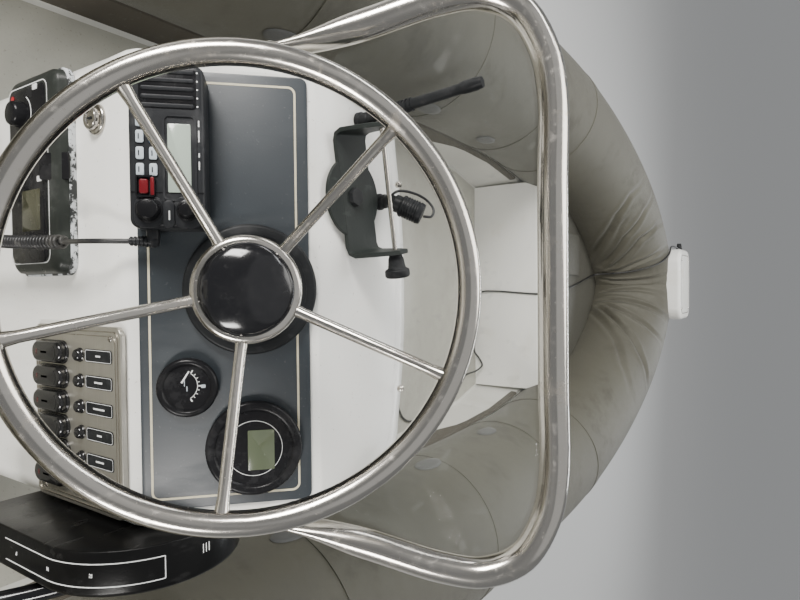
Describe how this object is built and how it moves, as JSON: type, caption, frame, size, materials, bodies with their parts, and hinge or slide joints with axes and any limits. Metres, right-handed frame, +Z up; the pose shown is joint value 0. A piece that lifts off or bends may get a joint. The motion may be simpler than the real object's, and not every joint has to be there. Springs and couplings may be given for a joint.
{
  "type": "rigid inflatable boat",
  "caption": "Rigid inflatable boat with a helm console, wheel, rail, helm seat, bow locker and a tilting, steering outboard motor.",
  "frame": {"origin": "on the centreline at the water's surface, amidships", "axes": "+Y to the bow, +X to starboard, +Z up"},
  "size_m": [1.9952, 5.0362, 1.5999],
  "materials": {
    "gelcoat": "off-white gelcoat, worn",
    "tube_fabric": "matt olive-beige coated fabric",
    "strake_rubber": "black moulded rubber",
    "polished_steel": "polished stainless steel",
    "dash_face": "grey-blue satin",
    "black_plastic": "black, satin",
    "gloss_black": "black, glossy",
    "bracket_grey": "dark grey",
    "switch_plate": "brushed metal",
    "clear_acrylic": "clear acrylic",
    "vinyl": "off-white marine vinyl",
    "cowl_paint": "dark paint, glossy",
    "motor_paint": "dark grey paint",
    "cast_alloy": "cast alloy",
    "cord_sheath": "black sheath"
  },
  "bodies": {
    "boat": {"hull": "gelcoat", "bow_tray": "gelcoat", "transom": "gelcoat", "bow_locker": "gelcoat", "bow_step": "gelcoat", "console": "gelcoat", "seat_box": "gelcoat", "tube_starboard": "tube_fabric", "tube_port": "tube_fabric", "tube_bow": "tube_fabric", "stern_cone_starboard": "tube_fabric", "stern_cone_port": "tube_fabric", "rub_strake_starboard": "strake_rubber", "rub_strake_port": "strake_rubber", "rub_strake_bow": "strake_rubber", "console_rail": "polished_steel", "key_switch": "polished_steel", "backrest_frame": "polished_steel", "mic_clip": "polished_steel", "dash_panel": "dash_face", "helm_bezel": "black_plastic", "fuel_gauge": "black_plastic", "speed_gauge": "black_plastic", "vhf_radio": "black_plastic", "stereo_unit": "black_plastic", "stub_aerial": "black_plastic", "capped_connector": "black_plastic", "control_box": "black_plastic", "control_lever": "black_plastic", "bow_light": "black_plastic", "vhf_microphone": "black_plastic", "gimbal_bracket": "bracket_grey", "switch_panel": "switch_plate", "windscreen": "clear_acrylic", "backrest_pad": "vinyl", "clamp_bracket": "motor_paint", "bow_wire": "cord_sheath", "mic_lead": "cord_sheath", "mic_curly_cord": "cord_sheath"},
    "swivel": {"swivel_bracket": "motor_paint"},
    "motor": {"motor_leg": "motor_paint", "cowling": "cowl_paint", "engine_block": "cast_alloy"},
    "propeller": {"propeller": "motor_paint"},
    "wheel": {"steering_wheel": "polished_steel", "wheel_hub_cap": "gloss_black"},
    "bow_lid": {"locker_lid": "gelcoat"},
    "seat_top": {"seat_lid": "gelcoat", "seat_cushion": "vinyl"}
  },
  "joints": [
    {"name": "motor_tilt", "type": "hinge", "parent": "boat", "child": "swivel", "pos_m": [0, -2.128, 0.318], "axis": [-1, 0, 0], "range_deg": [0, 62]},
    {"name": "motor_steer", "type": "hinge", "parent": "swivel", "child": "motor", "pos_m": [0, -2.205, 0.2], "axis": [0, 0, 1], "range_deg": [-30, 30]},
    {"name": "propeller_turn", "type": "hinge", "parent": "motor", "child": "propeller", "pos_m": [0, -2.474, -0.345], "axis": [0, 1, 0], "continuous": true},
    {"name": "wheel_turn", "type": "hinge", "parent": "boat", "child": "wheel", "pos_m": [0.001, -0.61593, 0.81934], "axis": [0, -0.6932, 0.7207], "range_deg": [-540, 540]},
    {"name": "locker_lid_hinge", "type": "hinge", "parent": "boat", "child": "bow_lid", "pos_m": [-0.135, 1.64, 0.4483], "axis": [-1, 0, 0], "range_deg": [0, 85]},
    {"name": "seat_lid_hinge", "type": "hinge", "parent": "boat", "child": "seat_top", "pos_m": [0, -1.185, 0.47], "axis": [-1, 0, 0], "range_deg": [0, 85]}
  ],
  "couplings": [
    {"joint": "wheel_turn", "follows": "motor_steer", "ratio": -18}
  ]
}
